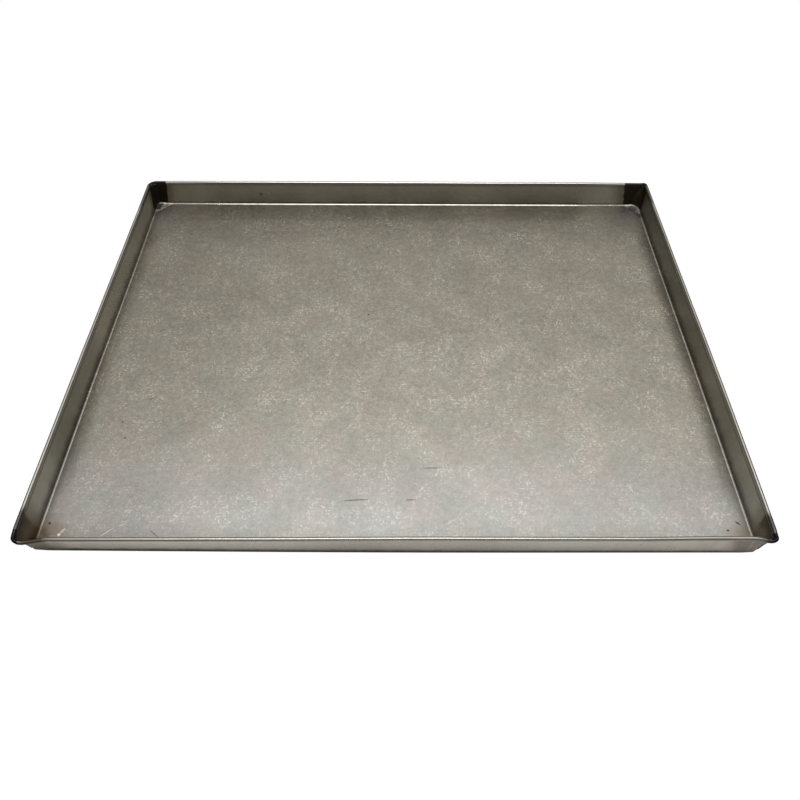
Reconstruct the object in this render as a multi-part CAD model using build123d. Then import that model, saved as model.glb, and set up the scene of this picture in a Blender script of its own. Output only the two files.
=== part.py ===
from build123d import *
import os
from math import cos, radians, sin

# A shallow rectangular baking tray, folded from one blank of steel sheet.
# It lies flat on the plane z = 0, centred, with its long side along X and its front towards -Y.

# Overall sizes in millimetres, measured over the rolled rim.
overall_width = 650.0
overall_depth = 530.0
overall_height = 32.3

# The sheet: how thick it is, how far each wall leans out, and how tightly it is bent.
sheet_thickness = 0.7
wall_flare = 2.3
floor_bend_radius = 2.0

# The upright corners: tight at the rim and rounder at the floor, by this much more than the bend.
rim_corner_radius = 3.0
floor_corner_ease = 6.0

# The rim: the top of each wall is rolled outward round its own straight steel wire.
wire_diameter = 2.2
wire_clearance = 0.07
curl_wrap_angle = 285.0

# The corners: weld metal joins the rolled edges and closes the upright seam, a little proud outside.
seam_width = 1.0
weld_proud = 0.3

# How far a cutting block reaches past what it cuts.
cut_overrun = 1.0

wire_radius = wire_diameter / 2
curl_inner_radius = wire_radius + wire_clearance
bead_radius = curl_inner_radius + sheet_thickness
bead_height = overall_height - bead_radius
bead_underside = bead_height - bead_radius

# The wall's inner face runs straight into the inner side of the rolled bead.
rim_inner_width = overall_width - 4 * bead_radius
rim_inner_depth = overall_depth - 4 * bead_radius
floor_corner_radius = floor_bend_radius + floor_corner_ease

# Each rim corner is an arc about an upright axis, shared by the wall, the rolled edge and the weld.
corner_axis_x = rim_inner_width / 2 - rim_corner_radius
corner_axis_y = rim_inner_depth / 2 - rim_corner_radius
bead_corner_radius = rim_corner_radius + bead_radius
seam_foot = sheet_thickness + floor_bend_radius

# The sides and the corners, in order round the tray; each is a quarter turn on from the one before it.
quarter_turn_angle = 90

# Each side's distance across the tray and half its straight length.
sides = {
    "right": (overall_width, corner_axis_y),
    "back": (overall_depth, corner_axis_x),
    "left": (overall_width, corner_axis_y),
    "front": (overall_depth, corner_axis_x),
}

# Sign of X and sign of Y at each corner.
corners = {
    "back_right": (1, 1),
    "back_left": (-1, 1),
    "front_left": (-1, -1),
    "front_right": (1, -1),
}


def inner_size(rim_size, level):
    """Distance between two opposite inner wall faces at a height, which narrows towards the floor."""
    lean = wall_flare * (bead_height - level) / (bead_height - sheet_thickness)
    return rim_size - 2 * lean


def tray_block(grow, base):
    """The tray's inside as a solid block from a base level to the bead's centre, grown outward."""
    foot = RectangleRounded(
        inner_size(rim_inner_width, base) + 2 * grow,
        inner_size(rim_inner_depth, base) + 2 * grow,
        floor_corner_radius + grow,
    )
    top = RectangleRounded(
        rim_inner_width + 2 * grow,
        rim_inner_depth + 2 * grow,
        rim_corner_radius + grow,
    )
    block = loft([Pos(0, 0, base) * foot, Pos(0, 0, bead_height) * top], ruled=True)
    return fillet(block.edges().group_by(Axis.Z)[0], floor_bend_radius + grow)


def turn_to(place, places):
    """The turn about Z from the first of the sides or corners to this one."""
    return Rot(0, 0, quarter_turn_angle * list(places).index(place))


def polar(radius, angle):
    """A point of the rim's cross-section, whose origin is the wire's centre and whose X is outward."""
    return (radius * cos(radians(angle)), radius * sin(radians(angle)))


def curl_section():
    """The rolled edge: from the wall's inner face over the wire, down outside and back underneath."""
    start = 180
    middle = start - curl_wrap_angle / 2
    end = start - curl_wrap_angle
    outline = [
        ThreePointArc(polar(bead_radius, start), polar(bead_radius, middle), polar(bead_radius, end)),
        Line(polar(bead_radius, end), polar(curl_inner_radius, end)),
        ThreePointArc(
            polar(curl_inner_radius, end), polar(curl_inner_radius, middle), polar(curl_inner_radius, start)
        ),
        Line(polar(curl_inner_radius, start), polar(bead_radius, start)),
    ]
    return make_face(outline)


def side_run(name, section):
    """A rim section carried straight along one side, between the corner arcs."""
    across, half_length = sides[name]
    start = Plane(
        origin=(across / 2 - bead_radius, half_length, bead_height), x_dir=(1, 0, 0), z_dir=(0, -1, 0)
    )
    return turn_to(name, sides) * extrude(start * section, amount=2 * half_length)


def corner_turn(section):
    """A rim section turned a quarter round the Z axis, to be set at any corner."""
    start = Plane(origin=(bead_corner_radius, 0, bead_height), x_dir=(1, 0, 0), z_dir=(0, -1, 0))
    return revolve(start * section, Axis.Z, quarter_turn_angle)


def at_corner(name, piece):
    """Sets a piece that was made about the Z axis at one corner of the rim."""
    side_x, side_y = corners[name]
    return Pos(side_x * corner_axis_x, side_y * corner_axis_y, 0) * turn_to(name, corners) * piece


def notch_block():
    """The space at a rim corner that the rolled edge is cut away from, so that it can be welded."""
    reach = rim_corner_radius + 2 * bead_radius + cut_overrun
    height = bead_height + cut_overrun - bead_underside
    return Pos(0, 0, bead_underside) * Box(reach, reach, height, align=Align.MIN)


def seam_block(top):
    """The narrow upright space between two walls at a corner, from above the floor bend to a height."""
    inward = 2 * wall_flare + floor_corner_radius / 2 + cut_overrun
    outward = rim_corner_radius + sheet_thickness + weld_proud + cut_overrun
    block = Box(
        inward + outward, seam_width, top - seam_foot, align=(Align.MIN, Align.CENTER, Align.MIN)
    )
    return Rot(0, 0, quarter_turn_angle / 2) * Pos(-inward, 0, seam_foot) * block


inside = tray_block(0, sheet_thickness)
shell = tray_block(sheet_thickness, 0) - inside


def make_pan_sheet():
    """Floor, four leaning walls and the rolled edge along each wall, all of one blank."""
    sheet = shell
    for name in corners:
        sheet -= at_corner(name, notch_block())
        sheet -= at_corner(name, seam_block(bead_height + cut_overrun))
    for name in sides:
        sheet += side_run(name, curl_section())
    return sheet


def make_corner_weld(name):
    """Weld metal at one corner: a rounded end for both rolled edges, a collar and the upright seam."""
    lump = at_corner(name, corner_turn(Circle(bead_radius)))
    collar = shell & at_corner(name, notch_block())
    proud_shell = tray_block(sheet_thickness + weld_proud, 0) - inside
    seam = proud_shell & at_corner(name, seam_block(bead_underside))
    return lump + collar + seam


parts = {"pan_sheet": make_pan_sheet()}
for name in sides:
    parts["rim_wire_" + name] = side_run(name, Circle(wire_radius))
for name in corners:
    parts["corner_weld_" + name] = make_corner_weld(name)

os.makedirs("parts", exist_ok=True)
for name, piece in parts.items():
    export_step(piece, "parts/" + name + ".step")
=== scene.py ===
import math
import bpy
from mathutils import Matrix, Vector, noise


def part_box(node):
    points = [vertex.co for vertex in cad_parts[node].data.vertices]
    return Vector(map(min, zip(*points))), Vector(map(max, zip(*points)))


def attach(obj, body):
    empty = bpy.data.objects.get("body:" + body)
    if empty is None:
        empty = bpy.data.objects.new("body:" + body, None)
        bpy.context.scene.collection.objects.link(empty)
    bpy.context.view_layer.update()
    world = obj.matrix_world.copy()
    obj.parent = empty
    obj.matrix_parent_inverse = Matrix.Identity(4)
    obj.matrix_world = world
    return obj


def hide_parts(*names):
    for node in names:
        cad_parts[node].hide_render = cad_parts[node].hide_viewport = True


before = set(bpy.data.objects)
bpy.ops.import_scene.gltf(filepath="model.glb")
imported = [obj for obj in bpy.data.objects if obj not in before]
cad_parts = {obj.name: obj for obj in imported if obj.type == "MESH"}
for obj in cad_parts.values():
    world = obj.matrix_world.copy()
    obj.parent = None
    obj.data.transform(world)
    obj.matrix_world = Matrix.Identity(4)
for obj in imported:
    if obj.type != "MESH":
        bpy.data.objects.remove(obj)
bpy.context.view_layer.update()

mm = 0.001
print("frame loaded:", len(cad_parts), "nodes")

# the camera stands where the photograph was taken, a little to the right of the middle
camera = {"place": (0.0030, -0.5821, 0.5812), "tiltDown": 49.38, "turn": -0.07, "roll": -0.263,
          "focal": 741.9, "image": 800, "sensor": 36, "clip": (0.01, 50)}   # focal and image in pixels


def addCamera(spec):
    tilt, turn, roll = (math.radians(spec[key]) for key in ("tiltDown", "turn", "roll"))
    ahead = Vector((-math.sin(turn) * math.cos(tilt), math.cos(turn) * math.cos(tilt), -math.sin(tilt)))
    right = Vector((math.cos(turn), math.sin(turn), 0))
    down = ahead.cross(right)
    across = math.cos(roll) * right + math.sin(roll) * down
    up = math.sin(roll) * right - math.cos(roll) * down
    data = bpy.data.cameras.new("photoCamera")
    data.sensor_width = spec["sensor"]
    data.lens = spec["focal"] / spec["image"] * data.sensor_width
    data.clip_start, data.clip_end = spec["clip"]
    eye = bpy.data.objects.new("photoCamera", data)
    eye.matrix_world = Matrix.Translation(spec["place"]) @ Matrix((across, up, -ahead)).transposed().to_4x4()
    bpy.context.collection.objects.link(eye)
    bpy.context.scene.camera = eye


addCamera(camera)
print("camera set")

# the tray's sizes come from the frame, its sheet and bends are repeated here in millimetres
low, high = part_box("pan_sheet")
tray = {"sheet": 0.7, "flare": 2.3, "bend": 2.0, "wire": 2.2, "clearance": 0.07, "curl": 285}
tray["width"], tray["depth"], tray["height"] = ((high - low) / mm)[:]
tray["inCurl"] = tray["wire"] / 2 + tray["clearance"]
tray["bead"] = tray["inCurl"] + tray["sheet"]
tray["beadHeight"] = tray["height"] - tray["bead"]
tray["halfX"] = tray["width"] / 2 - 2 * tray["bead"]
tray["halfY"] = tray["depth"] / 2 - 2 * tray["bead"]

# each corner: its signs, the inner radius at the rim and at the floor, how far its rim is pulled down,
# over what length, and how far it is tucked in
corners = {
    "back_right": {"signs": (1, 1), "rim": 1.6, "foot": 9.0, "drop": 0.8, "dropAlong": 80.0, "tuck": 0.0},
    "back_left": {"signs": (-1, 1), "rim": 8.0, "foot": 4.6, "drop": 0.5, "dropAlong": 80.0, "tuck": 0.0},
    "front_left": {"signs": (-1, -1), "rim": 2.6, "foot": 4.2, "drop": 3.6, "dropAlong": 32.0, "tuck": 0.15},
    "front_right": {"signs": (1, -1), "rim": 1.2, "foot": 6.5, "drop": 2.5, "dropAlong": 16.0, "tuck": 0.35},
}
cornerOrder = ["back_right", "back_left", "front_left", "front_right"]   # anticlockwise, seen from above

# the mesh: steps round each bend, how much flatter the corners are low down and between which heights,
# and how much closer together its columns stand near the corners
skin = {"bendSteps": 6, "wallSteps": 10, "curlOut": 22, "curlIn": 10, "arcSteps": 8,
        "alongX": 120, "alongY": 100, "floorRings": 6, "smallest": 0.4,
        "flat": 0.55, "flatFades": (0.2, 0.9), "crowded": 0.75}


def smooth(value, start, end):
    share = min(1.0, max(0.0, (value - start) / (end - start)))
    return share * share * (3 - 2 * share)


def wallLean(z):
    return -tray["flare"] * (tray["beadHeight"] - z) / (tray["beadHeight"] - tray["sheet"])


def innerRadius(corner, z):
    share = min(1.0, max(0.0, (z - tray["sheet"]) / (tray["beadHeight"] - tray["sheet"])))
    return corner["foot"] + (corner["rim"] - corner["foot"]) * share ** 3   # it tightens mostly near the rim


def sheetProfile():
    # one closed run round the sheet's section: distance outward of the rim's inner line, and height
    sheet, bend, bead, top = tray["sheet"], tray["bend"], tray["bead"], tray["beadHeight"]
    bendZ = sheet + bend
    bendO = wallLean(bendZ) - bend
    inset = min(c["foot"] for c in corners.values()) - bend - skin["smallest"]
    rings = []
    for i in range(skin["floorRings"]):
        rings.append((bendO - inset * (1 - i / skin["floorRings"]), sheet))
    for i in range(skin["bendSteps"] + 1):
        turn = math.pi / 2 * i / skin["bendSteps"]
        rings.append((bendO + bend * math.sin(turn), bendZ - bend * math.cos(turn)))
    for i in range(1, skin["wallSteps"]):
        z = bendZ + (top - bendZ) * i / skin["wallSteps"]
        rings.append((wallLean(z), z))
    for i in range(skin["curlOut"] + 1):
        turn = math.radians(180 - tray["curl"] * i / skin["curlOut"])
        rings.append((bead + bead * math.cos(turn), top + bead * math.sin(turn)))
    for i in range(skin["curlIn"] + 1):
        turn = math.radians(180 - tray["curl"] * (1 - i / skin["curlIn"]))
        rings.append((bead + tray["inCurl"] * math.cos(turn), top + tray["inCurl"] * math.sin(turn)))
    for i in range(skin["wallSteps"] - 1, 0, -1):
        z = bendZ + (top - bendZ) * i / skin["wallSteps"]
        rings.append((wallLean(z) + sheet, z))
    for i in range(skin["bendSteps"], -1, -1):
        turn = math.pi / 2 * i / skin["bendSteps"]
        reach = bend + sheet
        rings.append((bendO + reach * math.sin(turn), bendZ - reach * math.cos(turn)))
    for i in range(skin["floorRings"] - 1, -1, -1):
        rings.append((bendO - inset * (1 - i / skin["floorRings"]), 0.0))
    return rings


def spread(count):
    # shares from 0 to 1, closer together towards both ends
    shares = []
    for i in range(count + 1):
        even = i / count
        eased = (1 - math.cos(math.pi * even)) / 2
        shares.append(even + skin["crowded"] * (eased - even))
    return shares


def cornerAt(name, o, z):
    # radius and arc centre of one ring at one corner
    corner = corners[name]
    radius = max(skin["smallest"] / 2, innerRadius(corner, z) + o - wallLean(min(z, tray["beadHeight"])))
    if z > tray["beadHeight"]:
        radius = max(skin["smallest"] / 2, corner["rim"] + o)
    signX, signY = corner["signs"]
    centre = (signX * (tray["halfX"] + o - radius), signY * (tray["halfY"] + o - radius))
    return radius, centre


def cornerRay(facing, share, z):
    # a quarter turn, flattened towards its chord low down on the wall
    turn = facing + math.pi / 2 * share
    curved = Vector((math.cos(turn), math.sin(turn)))
    first = Vector((math.cos(facing), math.sin(facing)))
    last = Vector((-first.y, first.x))
    flat = skin["flat"] * (1 - smooth(z / tray["height"], *skin["flatFades"]))
    return curved.lerp(first.lerp(last, share), flat)


def ringPoints(o, z):
    # anticlockwise from the front end of the right side; each side is followed by its corner
    points = []
    for i, name in enumerate(cornerOrder):
        before = cornerAt(cornerOrder[i - 1], o, z)
        after = cornerAt(name, o, z)
        facing = math.pi / 2 * i
        out = Vector((math.cos(facing), math.sin(facing)))
        start = Vector(before[1]) + before[0] * out
        end = Vector(after[1]) + after[0] * out
        for share in spread(skin["alongY"] if i % 2 == 0 else skin["alongX"]):
            points.append(start.lerp(end, share))
        for step in range(1, skin["arcSteps"]):
            points.append(Vector(after[1]) + after[0] * cornerRay(facing, step / skin["arcSteps"], z))
    return [Vector((p.x, p.y, z)) for p in points]


# the real tray isn't true: its floor waves, its walls and rim wander, its corners are pulled.
# Lengths are in millimetres; "up" pairs are shares of the height, between which a change comes in
bows = {"right": {"centre": -70, "reach": 190, "rim": 0.8, "foot": 0.6},
        "left": {"centre": -80, "reach": 220, "rim": 0.4, "foot": 0.6},
        "front": {"centre": -20, "reach": 420, "rim": 0.6, "foot": 1.3},
        "up": (0.1, 1), "fades": (5, 60)}
# the front rim hangs out and down at its left end and stands in a little near its right end
frontLean = {"left": 1.6, "leftSpan": (-190, 60), "end": 0.9, "endSpan": (-300, -150),
             "right": -0.9, "rightSpan": (200, 285), "rightEnds": (298, 318), "rightLoss": 0.7,
             "up": (0.1, 1), "fades": (3, 40)}
dents = {"floorWave": 0.35, "floorScale": 90, "floorEdge": (2.5, 45), "floorUp": (1, 8),
         "wallWave": 0.30, "rimWave": 0.22, "rimScale": 70, "rimUp": (0.6, 1), "fades": (5, 70),
         "dropWave": 0.11, "dropScale": 45, "dropUp": (0.75, 1),
         "facetLegs": 20.0, "facetLift": 2.4, "facetFade": 14.0}
pull = {"round": 9.0, "least": 0.45, "grows": (-2, 7), "up": (0.5, 0.95), "outward": 0.45,
        "tuckUp": (0.3, 1), "tuckReach": 60}
seeds = {"floor": 3.1, "wall": 8.7, "rim": 5.3, "drop": 1.9, "weld": 2.2}


def wander(x, y, z, scale, seed):
    return noise.noise(Vector((x / scale + seed, y / scale - seed, z / scale)))


def lift(x, y, z, fromX, fromY):
    # how far a point is raised: the floor's waves, the triangles in its corners, and the rim's waves
    rise = dents["floorWave"] * (0.5 + 0.5 * wander(x, y, 0, dents["floorScale"], seeds["floor"]))
    rise *= smooth(min(fromX, fromY), *dents["floorEdge"]) * (1 - smooth(z, *dents["floorUp"]))
    legs = dents["facetLegs"] - (fromX + fromY)
    if legs > 0:
        rise += dents["facetLift"] * legs / dents["facetLegs"] * (1 - smooth(z, 0, dents["facetFade"]))
    up = z / tray["height"]
    wave = dents["dropWave"] * wander(x, y, 0, dents["dropScale"], seeds["drop"])
    return rise + wave * smooth(up, *dents["dropUp"])


def bulge(x, y, up, fromX, fromY):
    # how far a wall stands out: its waves, and the long bow of every side but the back
    nearest = min(fromX, fromY)
    waves = dents["wallWave"] * wander(x, y, 0, dents["rimScale"], seeds["wall"])
    waves *= math.sin(math.pi * min(1, up))
    waves += dents["rimWave"] * wander(x, y, 0, dents["rimScale"], seeds["rim"]) * smooth(up, *dents["rimUp"])
    out = waves * (1 - smooth(nearest, *dents["floorEdge"])) * smooth(max(fromX, fromY), *dents["fades"])
    side = fromX < fromY
    if side or y < 0:
        bow, along = (bows["right" if x > 0 else "left"], y) if side else (bows["front"], x)
        most = bow["foot"] + (bow["rim"] - bow["foot"]) * smooth(up, *bows["up"])
        reach = 1 - smooth(abs(along - bow["centre"]), 0, bow["reach"])
        out += most * reach * (1 - smooth(nearest, *bows["fades"]))
    return out


def leanOut(x, y, up):
    # how far the front rim hangs out
    lean = frontLean["left"] * (1 - smooth(x, *frontLean["leftSpan"]))
    lean += frontLean["end"] * (1 - smooth(x, *frontLean["endSpan"]))
    rightEnd = 1 - frontLean["rightLoss"] * smooth(x, *frontLean["rightEnds"])
    lean += frontLean["right"] * smooth(x, *frontLean["rightSpan"]) * rightEnd
    return lean * smooth(up, *frontLean["up"]) * (1 - smooth(tray["halfY"] + y, *frontLean["fades"]))


def pulled(point):
    # where a point of the true drawing lies on the real tray
    x, y, z = point
    signX, signY = 1 if x > 0 else -1, 1 if y > 0 else -1
    corner = [c for c in corners.values() if c["signs"] == (signX, signY)][0]
    fromX, fromY = tray["halfX"] - abs(x), tray["halfY"] - abs(y)
    up = z / tray["height"]
    down = (1 - smooth(fromX, 0, corner["dropAlong"])) * (1 - smooth(fromY, 0, pull["round"]))
    down *= pull["least"] + (1 - pull["least"]) * smooth(fromX, *pull["grows"])
    down *= corner["drop"] * smooth(up, *pull["up"])
    moved = Vector((x, y, z + lift(x, y, z, fromX, fromY) - down))
    moved.y -= leanOut(x, y, up)
    if y <= 0:
        moved.y -= pull["outward"] * down
    tuck = corner["tuck"] * smooth(up, *pull["tuckUp"])
    reach = pull["tuckReach"]
    moved.x -= signX * tuck * (1 - smooth(fromX, 0, reach)) * (1 - smooth(fromY, 0, reach))
    out = bulge(x, y, up, fromX, fromY)
    if fromX < fromY:
        moved.x += signX * out
    else:
        moved.y += signY * out
    return moved


def makeObject(name, points, faces):
    # the points are true to the drawing; they are moved here, and kept for the materials as "drawn"
    mesh = bpy.data.meshes.new(name)
    mesh.from_pydata([pulled(p) * mm for p in points], [], faces)
    drawn = mesh.attributes.new("drawn", "FLOAT_VECTOR", "POINT")
    drawn.data.foreach_set("vector", [value * mm for p in points for value in p])
    mesh.validate()
    mesh.polygons.foreach_set("use_smooth", [True] * len(mesh.polygons))
    mesh.update()
    piece = bpy.data.objects.new(name, mesh)
    bpy.context.collection.objects.link(piece)
    return piece


def fillFloor(points, faces, o, start, z, facingUp):
    # a grid inside the innermost floor ring, which begins at the point "start", with a fan of faces
    # in each small corner
    first = len(points)
    halfX, halfY = cornerAt("back_right", o, z)[1]
    xs = [(2 * share - 1) * halfX for share in spread(skin["alongX"])]
    ys = [(2 * share - 1) * halfY for share in spread(skin["alongY"])]
    points += [Vector((x, y, z)) for y in ys for x in xs]
    columns, rows = len(xs), len(ys)

    def grid(column, row):
        return first + row * columns + column

    def face(*corner):
        faces.append(corner if facingUp else corner[::-1])

    for row in range(rows - 1):
        for column in range(columns - 1):
            face(grid(column, row), grid(column + 1, row), grid(column + 1, row + 1), grid(column, row + 1))
    arc = skin["arcSteps"] - 1
    total = 2 * (columns + rows) + 4 * arc
    place = 0
    edges = [(lambda k: grid(columns - 1, k), rows), (lambda k: grid(columns - 1 - k, rows - 1), columns),
             (lambda k: grid(0, rows - 1 - k), rows), (lambda k: grid(k, 0), columns)]
    for edge, count in edges:
        for k in range(count - 1):
            face(edge(k), start + place + k, start + place + k + 1, edge(k + 1))
        hub = edge(count - 1)
        for k in range(arc + 1):
            here = place + count - 1 + k
            face(hub, start + here, start + (here + 1) % total)
        place += count + arc


def makeSkin():
    profile = sheetProfile()
    points, faces = [], []
    for o, z in profile:
        points += ringPoints(o, z)
    around = len(points) // len(profile)
    for ring in range(len(profile) - 1):
        for k in range(around):
            a, b = ring * around + k, ring * around + (k + 1) % around
            faces.append((a, a + around, b + around, b))
    fillFloor(points, faces, profile[0][0], 0, tray["sheet"], True)
    fillFloor(points, faces, profile[-1][0], (len(profile) - 1) * around, 0.0, False)
    return makeObject("panSheetSkin", points, faces)


panSkin = makeSkin()
print("sheet modelled:", len(panSkin.data.vertices), "points")


# corner welds: a rounded lump joins the two rolled edges, a ridge closes the upright seam
weld = {"overlap": 3.0, "sides": 20, "steps": 34, "proud": 0.12, "lumps": 0.10, "lumpScale": 1.6,
        "thin": 0.86, "swell": 0.35, "ridge": 0.95, "ridgeSunk": -0.2, "ridgeFoot": 2.2, "ridgeSteps": 26,
        "ridgeSides": 12, "ripple": 0.10, "rippleTurn": 1.7, "ridgeThin": 0.6, "ridgeGrows": 0.15}
upright = Vector((0, 0, 1))


def tube(points, faces, rings, up, sides, lumps=0.0):
    # a closed tube through rings, each given by its centre, direction and radius
    first = len(points)
    for centre, way, radius in rings:
        across = way.cross(up).normalized()
        rise = across.cross(way).normalized()
        for k in range(sides):
            turn = 2 * math.pi * k / sides
            ray = (across * math.cos(turn) + rise * math.sin(turn)) * radius
            spot = centre + ray
            points.append(centre + ray * (1 + lumps * wander(*spot, weld["lumpScale"], seeds["weld"])))
    for ring in range(len(rings) - 1):
        for k in range(sides):
            a, b = first + ring * sides + k, first + ring * sides + (k + 1) % sides
            faces.append((a, a + sides, b + sides, b))
    faces.append(tuple(first + k for k in range(sides)))
    last = first + (len(rings) - 1) * sides
    faces.append(tuple(last + k for k in reversed(range(sides))))


def lumpRings(corner):
    # round the corner from one rolled edge to the other, a little over both of them
    signX, signY = corner["signs"]
    bead, top = tray["bead"], tray["beadHeight"]
    radius = corner["rim"] + bead
    centreX, centreY = tray["halfX"] + bead - radius, tray["halfY"] + bead - radius
    arc = radius * math.pi / 2
    rings = []
    for i in range(weld["steps"] + 1):
        share = i / weld["steps"]
        along = (arc + 2 * weld["overlap"]) * share - weld["overlap"]
        turn = min(math.pi / 2, max(0.0, along / radius))
        way = Vector((-math.sin(turn), math.cos(turn), 0))
        spot = Vector((centreX + radius * math.cos(turn), centreY + radius * math.sin(turn), top))
        spot += way * (along - turn * radius)
        swell = math.sin(math.pi * share) ** weld["swell"] if 0 < share < 1 else 0
        thick = bead * weld["thin"] + (bead * (1 - weld["thin"]) + weld["proud"]) * swell
        spot, way = Vector((spot.x * signX, spot.y * signY, top)), Vector((way.x * signX, way.y * signY, 0))
        rings.append((spot, way, thick))
    return rings


def ridgeRings(corner):
    # up the outside of the corner, from near its foot to the lump
    signX, signY = corner["signs"]
    rise = tray["beadHeight"] - tray["bead"] / 2 - weld["ridgeFoot"]
    rings = []
    for i in range(weld["ridgeSteps"] + 1):
        share = i / weld["ridgeSteps"]
        z = weld["ridgeFoot"] + rise * share
        inner = innerRadius(corner, z)
        out = (inner + tray["sheet"] - weld["ridgeSunk"]) * cornerRay(0, 0.5, z).x - inner + wallLean(z)
        thick = weld["ridge"] * (1 + weld["ripple"] * math.sin(i * weld["rippleTurn"]))
        thick *= weld["ridgeThin"] + (1 - weld["ridgeThin"]) * smooth(share, 0, weld["ridgeGrows"])
        spot = Vector(((tray["halfX"] + out) * signX, (tray["halfY"] + out) * signY, z))
        rings.append((spot, upright, thick))
    return rings


def makeWeld(name):
    corner = corners[name]
    points, faces = [], []
    tube(points, faces, lumpRings(corner), upright, weld["sides"], weld["lumps"])
    outward = Vector((*corner["signs"], 0)).normalized()
    tube(points, faces, ridgeRings(corner), outward, weld["ridgeSides"], weld["lumps"])
    return makeObject("weld_" + name, points, faces)


welds = {name: makeWeld(name) for name in cornerOrder}
print("welds modelled")


# the wires inside the rolled edge bend with it, so they stand for the drawing's straight ones
wire = {"sides": 16, "steps": 90, "short": 0.3}
wireSides = {"right": ("front_right", "back_right"), "back": ("back_right", "back_left"),
             "left": ("back_left", "front_left"), "front": ("front_left", "front_right")}


def makeWire(name):
    ends = []
    for cornerName in wireSides[name]:
        corner = corners[cornerName]
        signX, signY = corner["signs"]
        inset = corner["rim"] + wire["short"]
        pastX, pastY = (tray["bead"], -inset) if name in ("right", "left") else (-inset, tray["bead"])
        x, y = signX * (tray["halfX"] + pastX), signY * (tray["halfY"] + pastY)
        ends.append(Vector((x, y, tray["beadHeight"])))
    way = (ends[1] - ends[0]).normalized()
    rings = [(ends[0].lerp(ends[1], share), way, tray["wire"] / 2) for share in spread(wire["steps"])]
    points, faces = [], []
    tube(points, faces, rings, upright, wire["sides"])
    return makeObject("wire_" + name, points, faces)


wires = {name: makeWire(name) for name in wireSides}
print("wires modelled")


# small helpers for building materials out of nodes; they add to the tree that was opened last
trees = []


def openTree(owner):
    owner.use_nodes = True
    owner.node_tree.nodes.clear()
    trees.append(owner.node_tree)


def link(source, socket):
    trees[-1].links.new(source, socket)


def add(kind, links=None, **settings):
    made = trees[-1].nodes.new("ShaderNode" + kind)
    for key, value in settings.items():
        setattr(made, key, value)
    for key, value in (links or {}).items():
        socket = made.inputs[key]
        if isinstance(value, bpy.types.NodeSocket):
            link(value, socket)
        else:
            socket.default_value = value
    return made


def calc(operation, *values):
    return add("Math", dict(enumerate(values)), operation=operation).outputs[0]


def times(*values):
    product = values[0]
    for value in values[1:]:
        product = calc("MULTIPLY", product, value)
    return product


def rest(share):
    return calc("SUBTRACT", 1.0, share)


def between(share, low, high):
    # low where the share is 0 and high where it is 1; either may be a socket
    if isinstance(high, bpy.types.NodeSocket) or isinstance(low, bpy.types.NodeSocket):
        return calc("MULTIPLY_ADD", share, calc("SUBTRACT", high, low), low)
    return calc("MULTIPLY_ADD", share, high - low, low)


def sway(wave, amount, base):
    # the base, moved up and down by a noise around its middle
    return calc("MULTIPLY_ADD", calc("SUBTRACT", wave, 0.5), amount, base)


def ramp(value, start, end, low=0.0, high=1.0):
    made = add("MapRange", {"Value": value, "From Min": start, "From Max": end, "To Min": low, "To Max": high},
               interpolation_type="SMOOTHSTEP")
    return made.outputs["Result"]


def rampMm(value, start, end, low=0.0, high=1.0):
    # the same over a length that is given in millimetres; the ends may be sockets in metres
    start, end = (side if isinstance(side, bpy.types.NodeSocket) else side * mm for side in (start, end))
    return ramp(value, start, end, low, high)


def blend(share, first, second, way="MIX"):
    made = add("Mix", data_type="RGBA", blend_type=way)
    for socket, value in ((made.inputs[0], share), (made.inputs[6], first), (made.inputs[7], second)):
        if isinstance(value, bpy.types.NodeSocket):
            link(value, socket)
        else:
            socket.default_value = value if isinstance(value, (int, float)) else (*value, 1.0)
    return made.outputs[2]


def grain(place, scale, detail=3.0, rough=0.55):
    made = add("TexNoise", {"Vector": place, "Scale": scale, "Detail": detail, "Roughness": rough})
    return made.outputs["Fac"]


def distance(place, spot):
    # from a spot given in millimetres
    made = add("VectorMath", {0: place, 1: [v * mm for v in spot]}, operation="DISTANCE")
    return made.outputs["Value"]


def newMaterial(name):
    material = bpy.data.materials.new(name)
    openTree(material)
    shader = add("BsdfPrincipled")
    add("OutputMaterial", {0: shader.outputs[0]})
    return material, shader, add("TexCoord").outputs["Object"]


def finishMetal(shader, colour, rough):
    link(colour, shader.inputs["Base Color"])
    link(rough, shader.inputs["Roughness"])
    shader.inputs["Metallic"].default_value = 1.0


def addBump(shader, height, look):
    bump = add("Bump", {"Strength": look["bump"], "Distance": look["bumpDepth"] * mm, "Height": height})
    link(bump.outputs[0], shader.inputs["Normal"])


# In the dictionaries below, "scale" is a noise's, lengths are in millimetres, and colours are red, green and
# blue. A run of four numbers says between which two places a share changes, and its value at each.

# where the parts of the sheet begin: heights, distances past the inner faces of the walls, and x and y
zones = {"bend": (1.3, 2.4), "floorTop": (0.75, 1.0), "underside": (0.2, 0.5), "rim": (0.5, 1.1),
         "outside": (0.30, 0.42), "diagonal": (-3, 3), "right": (-50, 50), "front": (50, -50),
         "away": (-240, 0), "bandScale": 70, "bandStretch": 0.06}
rimFoot = tray["height"] - 2 * tray["bead"]


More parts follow.
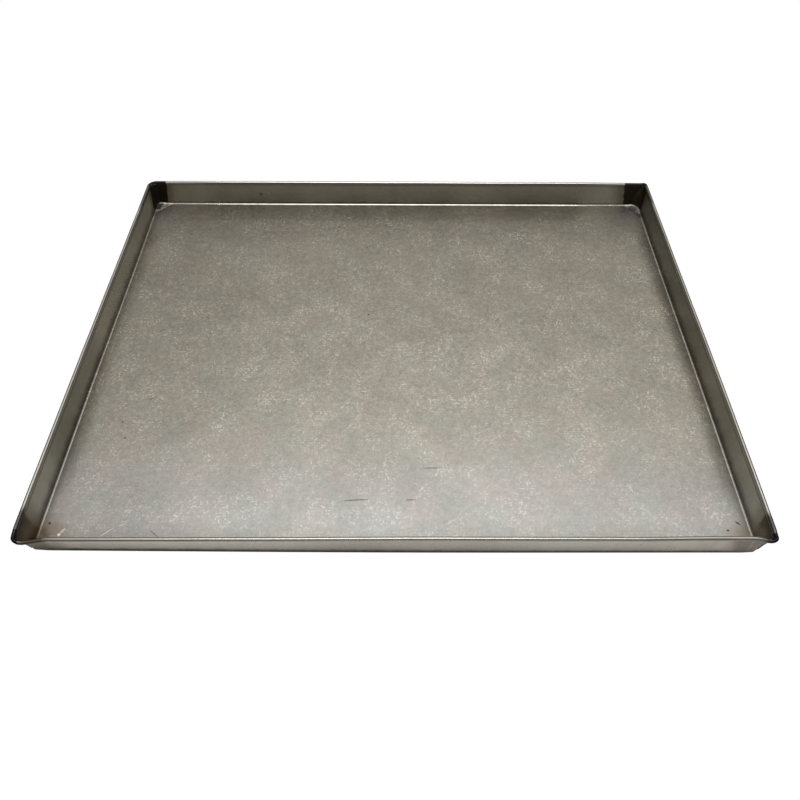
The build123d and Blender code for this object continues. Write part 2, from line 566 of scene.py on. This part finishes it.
class SteelPlace:
    # where a point of the sheet is: its true place, shares from 0 to 1 for the tray's parts, and noises
    def __init__(self):
        self.place = add("Attribute", attribute_name="drawn").outputs["Vector"]
        self.x, self.y, self.z = add("SeparateXYZ", {"Vector": self.place}).outputs[:]
        self.up = calc("DIVIDE", self.z, tray["height"] * mm)
        self.above = rampMm(self.z, *zones["bend"])
        self.below = rest(self.above)
        self.offFloor = rampMm(self.z, *zones["floorTop"])
        self.onTop = rampMm(self.z, *zones["underside"])
        self.addWalls()
        self.onRim = rampMm(self.z, *[rimFoot + rise for rise in zones["rim"]])
        offRim = rest(self.onRim)
        self.outside = times(rampMm(self.beyond, *zones["outside"]), offRim)
        self.inner = times(self.above, rest(self.outside), offRim)
        self.onSide = rampMm(calc("SUBTRACT", self.beyondX, self.beyondY), *zones["diagonal"])
        self.onEnd = rest(self.onSide)
        self.atRight = rampMm(self.x, *zones["right"])
        self.atFront = rampMm(self.y, *zones["front"])
        self.atBack = rest(self.atFront)
        self.away = rampMm(self.y, *zones["away"])   # 0 at the front edge, 1 from the middle on
        tall = add("Mapping", {"Vector": self.place, "Scale": (1, 1, zones["bandStretch"])})
        self.bands = grain(tall.outputs[0], zones["bandScale"], 3, 0.6)

    def addWalls(self):
        # how far a point is beyond the inner faces of the walls, and how far inside their foot
        flare = tray["flare"] * mm
        lean = calc("MULTIPLY_ADD", self.up, flare * tray["height"] / tray["beadHeight"], -flare)
        lean = calc("MINIMUM", lean, 0.0)
        beyond, inward = [], []
        for axis, half in ((self.x, tray["halfX"]), (self.y, tray["halfY"])):
            past = calc("SUBTRACT", calc("ABSOLUTE", axis), half * mm)
            beyond.append(calc("SUBTRACT", past, lean))
            inward.append(calc("MULTIPLY_ADD", past, -1.0, -flare))
        self.beyondX, self.beyondY = beyond
        self.inX, self.inY = inward
        self.beyond = calc("MAXIMUM", *beyond)


# pale curled flakes in loose patches over a mottled grey. A flake has the size of its net's cells, half its
# length, half its width, and how rare it is. A noise has its share at the front edge, further back, on walls
floorLook = {
    "flakes": {"large": (5.2, 2.6, 0.9, 0.45), "small": (3.1, 1.3, 0.8, 0.35)}, "flakeBow": 0.7,
    "flakeEdge": 0.3, "flakeEnds": 0.65, "flakeLight": 0.66, "flakeLeast": 0.10, "flakeAway": (0.7, 1.15),
    "base": 0.92, "patchScale": 30, "patch": (0.38, 0.66), "patchLight": 0.05, "toneScale": 14, "tone": 0.25,
    "blotchScale": 150, "blotch": (0.26, 0.46, 0.08), "fineScale": 420, "fine": (0.42, 0.80, 0.12),
    # painted shade: the floor darker towards the back and the left
    "backShade": (150, 250, 1.0, 0.64), "leftShade": (-270, -100, 0.90, 1.0),
    # painted shade: a darker strip on the floor beside the side walls and near the end walls
    "sideShadeStrip": ((10, 3), (0.8, 2.0)), "sideShadeDepth": 0.22, "endShadeStrip": (1.5, 38, 0.76, 1.0),
}


def flakes(place, cell, half, width, rare):
    # one curved stroke in each cell of a random net, each turned its own way
    net = add("TexVoronoi", {"Vector": place, "Scale": 1 / (cell * mm)}, voronoi_dimensions="2D")
    chance = add("SeparateColor", {"Color": net.outputs["Color"]}).outputs[:]
    off = add("VectorMath", {0: place, 1: net.outputs["Position"]}, operation="SUBTRACT")
    turned = add("VectorRotate", {"Vector": off.outputs[0], "Angle": times(chance[0], 2 * math.pi)},
                 rotation_type="Z_AXIS")
    along, across, _ = add("SeparateXYZ", {"Vector": turned.outputs[0]}).outputs[:]
    bow = times(along, along, times(chance[2], floorLook["flakeBow"] / (half * mm)))
    aside = calc("ABSOLUTE", calc("SUBTRACT", across, bow))
    line = rampMm(aside, width, width * floorLook["flakeEdge"])
    ends = rampMm(calc("ABSOLUTE", along), half, half * floorLook["flakeEnds"])
    return times(line, ends, ramp(chance[1], rare, 1.0))


def floorLight(at):
    # how light the floor is; the noises show faintly on the walls too
    look = floorLook
    at.patch = ramp(grain(at.place, look["patchScale"], 4, 0.65), *look["patch"])
    at.flake = calc("MAXIMUM", *[flakes(at.place, *size) for size in look["flakes"].values()])
    at.tone = grain(at.place, look["toneScale"], 3)
    at.blotch = grain(at.place, look["blotchScale"], 2, 0.5)
    at.fine = grain(at.place, look["fineScale"], 3, 0.65)
    strength = times(between(at.patch, look["flakeLeast"], 1.0), at.below,
                     between(at.away, *look["flakeAway"]))
    light = calc("MULTIPLY_ADD", times(at.flake, strength), look["flakeLight"], look["base"])
    light = calc("MULTIPLY_ADD", at.patch, look["patchLight"], light)
    light = sway(at.tone, look["tone"], light)
    for wave, (front, back, wall) in ((at.blotch, look["blotch"]), (at.fine, look["fine"])):
        light = sway(wave, between(at.above, between(at.away, front, back), wall), light)
    # painted shade: the floor darker towards the back and the left, not on the bend or walls
    shade = times(rampMm(at.y, *look["backShade"]), rampMm(at.x, *look["leftShade"]))
    return times(light, between(at.offFloor, shade, 1.0))


# faint upright bands on the walls, with painted shade along their foot and in the neck under the rolled edge,
# and painted light along the front's outside
wallLook = {
    "bands": 0.26, "ragged": 8, "sideFootShade": (3.0, 13.0, 0.36, 0.80), "endFootShade": (2.6, 5.0, 0.84, 1.26),
    "leftFront": (-205, -140, 1.21, 0.75), "leftBack": (-80, 30, 0.0, 0.46),
    "rightFront": (-205, -130, 1.14, 0.76), "rightBack": (-80, 40, 1.0, 0.82),
    "neckShade": (-1.8, 0.2), "neckShadeLevel": 0.42, "endNeckShadeLevel": 0.68,
    "frontPaintedLight": ((-180, -50, 1.33, 1.0), (-90, -20, 1.0, 0.83), (40, 150, 1.0, 1.2)),
}


def wallLight(at, light):
    look = wallLook
    # painted light and shade: the outside of the front wall lighter at its left end, darker from the middle on
    frontLight = times(*[rampMm(at.x, *run) for run in look["frontPaintedLight"]])
    light = times(light, between(times(at.outside, at.onEnd, at.atFront), 1.0, frontLight))
    light = sway(at.bands, times(at.above, look["bands"]), light)

    # painted light and shade: the inner walls darker towards their foot, set lighter or darker along the side
    # walls
    ragged = sway(at.bands, look["ragged"] * mm, at.z)
    left = calc("ADD", rampMm(at.y, *look["leftFront"]), rampMm(at.y, *look["leftBack"]))
    right = times(rampMm(at.y, *look["rightFront"]), rampMm(at.y, *look["rightBack"]))
    sideFootShade = times(rampMm(ragged, *look["sideFootShade"]), between(at.atRight, left, right))
    endFootShade = rampMm(ragged, *look["endFootShade"])
    foot = between(at.onSide, endFootShade, sideFootShade)
    # painted shade: a dark line in the neck under the rolled edge, fainter on the end walls
    neckShade = rampMm(at.z, *[rimFoot + rise for rise in look["neckShade"]], 1.0, look["neckShadeLevel"])
    neckShade = calc("MAXIMUM", neckShade, times(at.onEnd, look["endNeckShadeLevel"]))
    light = times(light, between(at.inner, 1.0, times(foot, neckShade)))

    # painted shade: a darker strip on the floor beside the side walls and near the end walls, not on the walls
    edgeShade = times(*[rampMm(at.inX, *run) for run in floorLook["sideShadeStrip"]])
    edgeShade = calc("MULTIPLY_ADD", edgeShade, -floorLook["sideShadeDepth"], 1.0)
    edgeShade = times(edgeShade, rampMm(at.inY, *floorLook["endShadeStrip"]))
    return times(light, calc("MAXIMUM", edgeShade, at.above))


steelLook = {
    "colour": (0.60, 0.565, 0.495), "pink": (0.625, 0.565, 0.53), "green": (0.56, 0.58, 0.54),
    "hueScale": 24, "hue": (0.34, 0.66), "plain": (100, -200, 0.68, 0.52),
    "cold": (0.57, 0.61, 0.575), "coldScale": 95, "coldPatch": (0.58, 0.70), "coldShare": 0.22,
    "brown": (0.50, 0.44, 0.35), "brownBands": (0.48, 0.68), "brownShare": 0.25,
    "wall": (0.58, 0.575, 0.495), "wallShare": 0.5, "cool": (0.99, 1.015, 1.09), "coolFront": (-90, -220),
    "roughness": 0.25, "roughSway": 0.08, "bump": 0.22, "bumpDepth": 0.1, "bumpFlake": 0.5, "bumpFine": 0.6,
}


def steelColour(at, light):
    look = steelLook
    hue = ramp(grain(at.place, look["hueScale"], 3, 0.5), *look["hue"])
    colour = blend(hue, look["pink"], look["green"])
    colour = blend(rampMm(at.y, *look["plain"]), colour, look["colour"])
    cold = ramp(grain(at.place, look["coldScale"], 3, 0.6), *look["coldPatch"])
    colour = blend(times(cold, at.below, look["coldShare"]), colour, look["cold"])
    brown = ramp(at.bands, *look["brownBands"])
    colour = blend(times(brown, at.above, look["brownShare"]), colour, look["brown"])
    colour = blend(times(at.inner, look["wallShare"]), colour, look["wall"])
    grey = add("CombineColor", {0: light, 1: light, 2: light}).outputs[0]
    colour = blend(1.0, colour, grey, "MULTIPLY")
    cool = times(rampMm(at.y, *look["coolFront"]), at.below)
    return blend(cool, colour, look["cool"], "MULTIPLY")


# rougher towards the corners of the floor, with painted shade darkening them; the raised triangles there are
# paler and mottled
cornerLook = {
    "reach": (95, 40), "rough": (0.26, 0.12), "cornerShade": (0.10, 0.095, 0.08), "cornerShadeFloor": 0.40,
    "cornerShadeWall": 0.30, "cornerShadeFront": 0.3, "cornerShadeBend": 0.35, "facetEdge": (1.5, -0.5), "facetRough": 0.10,
    "pale": (0.90, 0.87, 0.80), "paleLeft": 0.62, "paleRight": 0.45, "mottleScale": 330,
    "mottle": (0.42, 0.60), "mottleLeast": 0.05,
}


def roughenAndShadeCorners(at, colour, rough):
    look = cornerLook
    reach = calc("ADD", calc("MAXIMUM", at.inX, 0.0), calc("MAXIMUM", at.inY, 0.0))
    near = rampMm(reach, *look["reach"])
    rough = calc("MULTIPLY_ADD", near, between(at.atFront, *look["rough"]), rough)
    # painted shade: darker near the corners, most on the floor, faint on the bend and walls, weaker at the
    # front
    cornerShade = times(near, between(at.above, look["cornerShadeFloor"], look["cornerShadeWall"]),
                 between(at.atFront, 1.0, look["cornerShadeFront"]),
                 between(at.offFloor, 1.0, look["cornerShadeBend"]))
    colour = blend(cornerShade, colour, look["cornerShade"])
    facetEdge = [dents["facetLegs"] + past for past in look["facetEdge"]]
    facet = times(rampMm(reach, *facetEdge), at.below)
    mottle = ramp(grain(at.place, look["mottleScale"], 2), *look["mottle"])
    pale = times(facet, at.atBack, between(at.atRight, look["paleLeft"], look["paleRight"]),
                 between(mottle, look["mottleLeast"], 1.0))
    colour = blend(pale, colour, look["pale"])
    return colour, calc("MULTIPLY_ADD", facet, look["facetRough"], rough)


# heat tint round each corner: how far it reaches along the long wall and the short wall, at the rim and at
# the floor, how dark it is high up and low down, where its edge runs out, and along the rolled edge of
# the short side how far it goes, how long the black lump is, and how dark it is on the long side's edge
tint = {
    "back_right": {"alongX": (26, 20.5), "alongY": (14.5, 19), "dark": (0.95, 0.97), "edge": (1.06, 0.97),
                   "rim": 52, "lump": 4.0, "rimDark": 0.95},
    "back_left": {"alongX": (19.5, 15.5), "alongY": (9, 25), "dark": (0.96, 0.98), "edge": (1.05, 0.97),
                  "rim": 66, "lump": 4.0, "rimDark": 0.97},
    "front_left": {"alongX": (25, 18), "alongY": (22, 21), "dark": (0.80, 0.97), "edge": (1.16, 0.90),
                   "rim": 31, "lump": 8.0, "rimDark": 0.72},
    "front_right": {"alongX": (8, 16), "alongY": (24, 20), "dark": (0.82, 0.95), "edge": (1.12, 0.90),
                    "rim": 26, "lump": 4.5, "rimDark": 0.72},
}
tintLook = {
    "brown": (0.17, 0.13, 0.085), "burnt": ((0.045, 0.034, 0.020), (0.022, 0.023, 0.016)),
    "burntEdge": (-0.03, 0.03), "edgeScale": 150, "edge": 0.18, "haze": (2.0, 0.95), "hazeOutside": 0.22,
    "hazeFront": (0.62, 0.68), "low": (4, 24, 1.0, 0.0), "rough": 0.12, "rim": (0.017, 0.017, 0.021),
    "rimEdge": 1.5, "sideFades": 0.7, "sideOuter": (2.0, 2.5), "sideFront": 0.78, "sideBack": 0.62,
    "black": 0.97, "endOuter": (1.3, 0.6), "endShare": 0.9,
}


def tintReach(at, name):
    # 0 at the corner, 1 at the edge of the tint
    reach = []
    for axis, half, sign, key in ((at.x, tray["halfX"], corners[name]["signs"][0], "alongX"),
                                  (at.y, tray["halfY"], corners[name]["signs"][1], "alongY")):
        off = calc("SUBTRACT", half * mm, calc("MULTIPLY", axis, sign))
        rim, foot = tint[name][key]
        reach.append(calc("DIVIDE", off, between(at.up, foot * mm, rim * mm)))
    return calc("MAXIMUM", *reach)


def heatTint(at, colour, rough):
    # brown first, then nearly black
    look = tintLook
    edge = sway(grain(at.place, look["edgeScale"], 3), look["edge"], 0.0)
    low = rampMm(at.z, *look["low"])
    burnt = blend(ramp(edge, *look["burntEdge"]), *look["burnt"])
    haze = between(at.inner, look["hazeOutside"], between(at.atFront, *look["hazeFront"]))
    for name in cornerOrder:
        reach = calc("ADD", tintReach(at, name), edge)
        brown = times(ramp(reach, *look["haze"]), at.above, haze)
        black = times(ramp(reach, *tint[name]["edge"]), at.inner, between(low, *tint[name]["dark"]))
        colour = blend(black, blend(brown, colour, look["brown"]), burnt)
        rough = calc("MULTIPLY_ADD", black, look["rough"], rough)
    return colour, rough


def rimTint(at, name):
    # the rolled edge near one corner: black right across at the back, on its outer half along the sides
    look, spec = tintLook, tint[name]
    signX, signY = corners[name]["signs"]
    fromX = calc("SUBTRACT", tray["halfX"] * mm, calc("MULTIPLY", at.x, signX))
    fromY = calc("SUBTRACT", tray["halfY"] * mm, calc("MULTIPLY", at.y, signY))
    end, side, lump = spec["alongX"][0], spec["rim"], spec["lump"]
    atEnd, atSide = rampMm(fromY, 1, 0), rampMm(fromX, 1, 0)
    outerX, outerY = (rampMm(value, *look["sideOuter"]) for value in (at.beyondX, at.beyondY))
    sideShare = look["sideFront"] if signY < 0 else look["sideBack"]
    shares = [times(rampMm(fromX, end, end - look["rimEdge"]), atEnd, spec["rimDark"]),
              times(rampMm(fromY, side, side * look["sideFades"]), atSide,
                    between(outerX, sideShare, look["black"])),
              times(rampMm(fromY, lump + 1, lump - 1), atSide, look["black"]),
              times(rampMm(fromX, *[end * share for share in look["endOuter"]]), atEnd, outerY,
                    look["endShare"])]
    most = shares[0]
    for share in shares[1:]:
        most = calc("MAXIMUM", most, share)
    return times(most, at.onRim)


# the rolled edge: painted highlight along the top of its sides, painted shade on its inner side and back,
# painted dark reflection outside, black at the corners
rimLook = {
    "top": (0.62, 0.61, 0.58), "highlightBand": ((0.7, 1.1), (2.1, 1.8)), "highlightShare": 0.8, "highlightRough": 0.18,
    "inner": (0.07, 0.065, 0.055), "innerShadeBand": (1.1, 0.5), "innerShadeSide": 0.15, "innerShadeFront": 0.8,
    "back": (0.32, 0.315, 0.30), "backInside": (0.50, 0.495, 0.475), "backBand": (1.6, 0.7),
    "backShares": (0.6, 0.8),
    "paintedDark": (0.05, 0.048, 0.045), "outlineShadeBand": (1.9, 2.4), "outlineShadeShares": (0.45, 0.93), "outlineShadeRough": 0.25,
}


def rolledEdge(at, colour, rough):
    look = rimLook
    # painted highlight: a light band along the top of the side rolled edges, made a little rougher
    top = times(*[rampMm(at.beyond, *band) for band in look["highlightBand"]], at.onRim, at.onSide)
    colour = blend(times(top, look["highlightShare"]), colour, look["top"])
    # painted shade: a dark line along the inner side of the rolled edge, faint on the sides, strongest at the
    # front
    inner = times(rampMm(at.beyond, *look["innerShadeBand"]), at.onRim)
    share = between(at.onEnd, look["innerShadeSide"], times(at.atFront, look["innerShadeFront"]))
    colour = blend(times(inner, share), colour, look["inner"])
    # painted light and shade: the back rolled edge darker, less so on its inner half
    inside = rampMm(at.beyond, *look["backBand"])
    share = times(at.onRim, at.onEnd, at.atBack, between(inside, *look["backShares"]))
    colour = blend(share, colour, blend(inside, look["back"], look["backInside"]))
    rough = calc("MULTIPLY_ADD", top, look["highlightRough"], rough)
    # painted dark reflection along the outer side of the rolled edge, stronger on the sides, and rougher there
    darkOutline = times(rampMm(at.beyond, *look["outlineShadeBand"]), at.onRim, between(at.onSide, *look["outlineShadeShares"]))
    colour = blend(darkOutline, colour, look["paintedDark"])
    rough = calc("MULTIPLY_ADD", darkOutline, look["outlineShadeRough"], rough)
    for name in cornerOrder:
        colour = blend(rimTint(at, name), colour, tintLook["rim"])
    return colour, rough


# outside: dark brown along the bottom of the walls, stains near the ends of the front, and a browned underside
outsideLook = {
    "bottomDark": (0.060, 0.042, 0.022), "bottomDarkShare": 0.90, "bottomDarkRun": (20, 200), "bottomDarkTops": (9.8, 8.0),
    "bottomDarkFoot": 4.2, "ragged": 3, "under": (0.0, -0.2), "underX": (270, 312), "underY": (210, 252),
    "underLeast": 0.45,
    "ends": (0.30, 0.25, 0.24), "endsFrom": (240, 310), "endsBands": (0.35, 0.6), "endsShare": 0.5,
    "paintedDark": (0.10, 0.09, 0.09), "slantShadeFrom": (292, 303), "slantShadeTilt": 0.35, "slantShadeBands": (0.36, 0.52),
    "slantShadeShare": 0.62,
    "brown": (0.20, 0.15, 0.12), "brownFrom": (-290, -297), "brownWave": 10, "brownShare": 0.62,
    "wall": (0.74, 0.71, 0.66), "wallFrom": (-245, -278),
}


def outsideStains(at, colour):
    look = outsideLook
    fromMiddle = calc("ABSOLUTE", at.x)
    normal = add("TexCoord").outputs["Normal"]
    facing = add("SeparateXYZ", {"Vector": normal}).outputs[2]
    towardsEdge = calc("MAXIMUM", rampMm(fromMiddle, *look["underX"]),
                       rampMm(calc("ABSOLUTE", at.y), *look["underY"]))
    underside = times(ramp(facing, *look["under"]), between(towardsEdge, look["underLeast"], 1.0))
    # dark brown towards the bottom of the outside walls and on the underside, darkest near its edge
    bottomDarkTop = rampMm(at.x, *look["bottomDarkRun"], *[height * mm for height in look["bottomDarkTops"]])
    bottomDark = rampMm(sway(at.bands, look["ragged"] * mm, at.z), bottomDarkTop, look["bottomDarkFoot"])
    bottomDark = times(bottomDark, calc("MAXIMUM", at.outside, underside), look["bottomDarkShare"])
    colour = blend(bottomDark, colour, look["bottomDark"])

    ends = times(rampMm(fromMiddle, *look["endsFrom"]), at.outside,
                 ramp(at.bands, *look["endsBands"]), look["endsShare"])
    colour = blend(ends, colour, look["ends"])
    # painted shade: a slanted dark band on the outside of the front wall near its right end
    slant = calc("MULTIPLY_ADD", at.z, look["slantShadeTilt"], at.x)
    paintedDark = times(rampMm(slant, *look["slantShadeFrom"]), at.outside, at.atFront,
                 ramp(at.bands, *look["slantShadeBands"]), look["slantShadeShare"])
    colour = blend(paintedDark, colour, look["paintedDark"])
    waved = calc("MULTIPLY_ADD", at.tone, look["brownWave"] * mm, at.x)
    frontRim = times(at.onRim, at.onEnd, at.atFront)
    brown = times(rampMm(waved, *look["brownFrom"]), calc("MAXIMUM", at.outside, frontRim))
    colour = blend(times(brown, look["brownShare"]), colour, look["brown"])

    # the wall inside is darkened, a little warm, beside the back left tint
    wall = times(rampMm(at.x, *look["wallFrom"]), at.inner, at.onEnd, at.atBack)
    return blend(wall, colour, look["wall"], "MULTIPLY")


# soot and haze on the floor in the corners, blue-purple at the back right and warm at the front left:
# place, size, colour and share
stains = [
    ((311, 250.5), 8.0, (0.13, 0.11, 0.145), 0.9), ((-318, 252), 9.0, (0.045, 0.045, 0.04), 0.92),
    ((-312, -250), 30.0, (0.30, 0.25, 0.19), 0.65), ((316, -250), 26.0, (0.36, 0.31, 0.24), 0.55),
    ((318, 236), 7.0, (0.14, 0.10, 0.07), 0.7), ((-318, 236), 9.0, (0.20, 0.16, 0.12), 0.6),
    ((-319, -248), 15.0, (0.15, 0.115, 0.08), 0.7), ((-321, -254), 9.0, (0.04, 0.028, 0.016), 0.85),
    ((321, -254), 8.0, (0.045, 0.032, 0.02), 0.8),
]
stainLook = {"scale": 180, "wave": 8, "height": 1.0, "core": 0.45, "past": 4}
# a nick on the back wall, and specks on the front wall and its rolled edge: place, with its height, and size
specks = [((-180.4, 260, 15.3), 1.4), ((211.3, -262, 17.4), 1.1), ((-149.3, -265, 29.0), 1.2)]
speckLook = {"colour": (0.03, 0.03, 0.025), "share": 0.8, "edge": (1.5, 0.6)}
# dark specks, smears and a nick on the floor, and pale scratches: place, length, width and turn
marks = {
    "dark": [(-32.9, 44.3, 1.8, 1.8, 0), (-37.9, 166.9, 1.5, 1.5, 0), (-274.6, -114.5, 1.6, 1.6, 0),
             (-267.6, -134.9, 1.9, 1.9, 0), (-311.6, -231.9, 2.2, 2.0, 0), (298.2, -237.0, 2.0, 1.8, 0),
             (-36.4, -206.2, 22, 1.7, 4), (13.5, -205.9, 9, 1.4, 0), (33.9, -169.8, 17, 1.3, 2),
             (309.1, -229.4, 4.6, 1.6, -45), (-262.5, -128.3, 5.0, 0.9, 75), (-252.6, -84.2, 4.0, 0.9, 60),
             (-215.6, -241.7, 11, 1.1, -36)],
    "pale": [(-258.2, -240.8, 13, 1.1, 41), (-297.7, -239.7, 6.0, 1.6, 56), (-299.8, -243.5, 2.6, 2.2, 0),
             (-246.0, -233.0, 7, 0.9, 20)],
}
markLook = {"dark": (0.04, 0.037, 0.033), "pale": (0.95, 0.93, 0.88), "wave": 0.8, "edge": (1.3, 0.75),
            "shortest": 5, "shortShare": 0.95, "longShare": 0.5}


def soil(at, colour):
    # the stains, specks and marks; those of the floor don't show on the underside
    look = stainLook
    for (x, y), size, shade, most in stains:
        near = distance(at.place, (x, y, look["height"]))
        uneven = calc("MULTIPLY_ADD", grain(at.place, look["scale"], 3), look["wave"] * mm, near)
        share = rampMm(uneven, size + look["past"], size * look["core"] + look["past"])
        colour = blend(times(share, most, at.onTop), colour, shade)
    look = speckLook
    for spot, size in specks:
        share = rampMm(distance(at.place, spot), *[size * edge for edge in look["edge"]])
        colour = blend(times(share, look["share"]), colour, look["colour"])
    look = markLook
    for kind, places in marks.items():
        for x, y, length, width, turn in places:
            local = add("Mapping", {"Vector": at.place, "Location": (x * mm, y * mm, tray["sheet"] * mm),
                                    "Rotation": (0, 0, math.radians(turn)),
                                    "Scale": (length * mm / 2, width * mm / 2, 1)}, vector_type="TEXTURE")
            far = add("VectorMath", {0: local.outputs[0]}, operation="LENGTH").outputs["Value"]
            share = ramp(sway(at.fine, look["wave"], far), *look["edge"])
            most = look["shortShare"] if length < look["shortest"] else look["longShare"]
            colour = blend(times(share, most, at.onTop), colour, look[kind])
    return colour


def makeSteel():
    material, shader, _ = newMaterial("panSteel")
    at = SteelPlace()
    light = wallLight(at, floorLight(at))
    colour = steelColour(at, light)
    rough = sway(at.tone, steelLook["roughSway"], steelLook["roughness"])
    for layer in (roughenAndShadeCorners, heatTint, rolledEdge):
        colour, rough = layer(at, colour, rough)
    colour = soil(at, outsideStains(at, colour))

    height = calc("MULTIPLY_ADD", times(at.flake, at.below), steelLook["bumpFlake"],
                  times(at.fine, steelLook["bumpFine"]))
    finishMetal(shader, colour, rough)
    addBump(shader, height, steelLook)
    return material


weldLook = {"scale": 180, "colours": ((0.012, 0.012, 0.015), (0.034, 0.036, 0.050)), "wash": (0.35, 0.65),
            "rough": (0.3, 0.7, 0.36, 0.55), "bumpScale": 1200, "bump": 0.4, "bumpDepth": 0.2}


def makeWeldMetal():
    look = weldLook
    material, shader, place = newMaterial("weldMetal")
    wash = grain(place, look["scale"], 3)
    colour = blend(ramp(wash, *look["wash"]), *look["colours"])
    finishMetal(shader, colour, ramp(wash, *look["rough"]))
    addBump(shader, grain(place, look["bumpScale"], 3), look)
    return material


wireLook = {"scale": 700, "colours": ((0.36, 0.35, 0.33), (0.5, 0.49, 0.47)), "rough": (0.3, 0.7, 0.3, 0.45)}


def makeWireSteel():
    material, shader, place = newMaterial("wireSteel")
    streaks = grain(place, wireLook["scale"], 2)
    finishMetal(shader, blend(streaks, *wireLook["colours"]), ramp(streaks, *wireLook["rough"]))
    return material


steel, weldMetal, wireSteel = makeSteel(), makeWeldMetal(), makeWireSteel()
panSkin.data.materials.append(steel)
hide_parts("pan_sheet")
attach(panSkin, "root")
for name, piece in welds.items():
    piece.data.materials.append(weldMetal)
    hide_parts("corner_weld_" + name)
    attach(piece, "root")
for name, piece in wires.items():
    piece.data.materials.append(wireSteel)
    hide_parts("rim_wire_" + name)
    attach(piece, "root")
print("materials made")


# a pale table, one lamp overhead and a soft room. Seen by the camera both table and room are white paper.
# The table is grey before the tray, dark at its sides and pale behind it, from the lengths given
studio = {"floor": 6.0, "sunk": 0.2, "lamp": (1.6, 0.9), "lampPlace": (0.0, -0.30, 2.0), "power": 22.0,
          "tableFront": (0.77, 0.77, 0.765), "tableFlank": (0.10, 0.10, 0.10), "tableBack": (0.9, 0.9, 0.9),
          "flankFrom": (322, 340), "backFrom": (200, 300), "tableRough": 0.9, "tableShine": 0.1,
          "paper": (1, 1, 1, 1)}
# the room: its light at each height, from 0 level to 1 overhead, and how much dimmer it is behind the camera
# and to the left
room = [(0.0, 0.13, (1.0, 0.95, 0.86)), (0.30, 0.17, (1.0, 0.95, 0.86)), (0.45, 0.27, (1.0, 0.955, 0.85)),
        (0.58, 0.38, (1.0, 0.96, 0.86)), (0.70, 0.52, (1.0, 0.965, 0.88)), (0.80, 0.76, (1.0, 0.98, 0.92)),
        (0.88, 1.02, (1.0, 0.985, 0.95)), (1.0, 1.5, (1.0, 1.0, 0.98))]
roomLook = {"most": 1.6, "behind": 0.60, "behindFrom": (-0.6, 0.2), "left": (-0.5, 0.1, 0.88, 1.0)}


def addTable(spec):
    half = spec["floor"]
    mesh = bpy.data.meshes.new("table")
    mesh.from_pydata([(-half, -half, 0), (half, -half, 0), (half, half, 0), (-half, half, 0)], [],
                     [(0, 1, 2, 3)])
    table = bpy.data.objects.new("table", mesh)
    table.location.z = -spec["sunk"] * mm
    bpy.context.collection.objects.link(table)
    material, shader, place = newMaterial("paleTable")
    x, y, _ = add("SeparateXYZ", {"Vector": place}).outputs[:]
    flank = rampMm(calc("ABSOLUTE", x), *spec["flankFrom"])
    shade = blend(flank, spec["tableFront"], spec["tableFlank"])
    shade = blend(rampMm(y, *spec["backFrom"]), shade, spec["tableBack"])
    link(shade, shader.inputs["Base Color"])
    shader.inputs["Roughness"].default_value = spec["tableRough"]
    shader.inputs["Specular IOR Level"].default_value = spec["tableShine"]
    paper = add("Emission", {"Color": spec["paper"], "Strength": 1.0})
    seen = add("LightPath").outputs["Is Camera Ray"]
    both = add("MixShader", {0: seen, 1: shader.outputs[0], 2: paper.outputs[0]})
    out = [node for node in material.node_tree.nodes if node.type == "OUTPUT_MATERIAL"][0]
    link(both.outputs[0], out.inputs[0])
    mesh.materials.append(material)


def addLamp(spec):
    lamp = bpy.data.lights.new("overheadLamp", "AREA")
    lamp.shape = "RECTANGLE"
    lamp.size, lamp.size_y = spec["lamp"]
    lamp.energy = spec["power"]
    box = bpy.data.objects.new("overheadLamp", lamp)
    box.location = spec["lampPlace"]
    box.rotation_euler = Vector(spec["lampPlace"]).to_track_quat("Z", "Y").to_euler()
    bpy.context.collection.objects.link(box)


def addRoom(spec):
    world = bpy.data.worlds.new("studio")
    bpy.context.scene.world = world
    openTree(world)
    seen = add("LightPath").outputs["Is Camera Ray"]
    way = add("TexCoord").outputs["Generated"]
    x, y, z = add("SeparateXYZ", {"Vector": way}).outputs[:]
    glow = add("ValToRGB", {0: z})
    stops = glow.color_ramp.elements
    while len(stops) < len(room):
        stops.new(1.0)
    for stop, (height, level, warm) in zip(stops, room):
        stop.position = height
        stop.color = (*(level / spec["most"] * c for c in warm), 1)
    strength = ramp(y, *spec["behindFrom"], spec["most"] * spec["behind"], spec["most"])
    strength = times(strength, ramp(x, *spec["left"]))
    soft = add("Background", {"Color": glow.outputs[0], "Strength": strength})
    paper = add("Background", {"Color": studio["paper"], "Strength": 1.0})
    mix = add("MixShader", {0: seen, 1: soft.outputs[0], 2: paper.outputs[0]})
    add("OutputWorld", {0: mix.outputs[0]})


addTable(studio)
addLamp(studio)
addRoom(roomLook)
bpy.context.scene.view_settings.view_transform = "Standard"
print("studio lit")
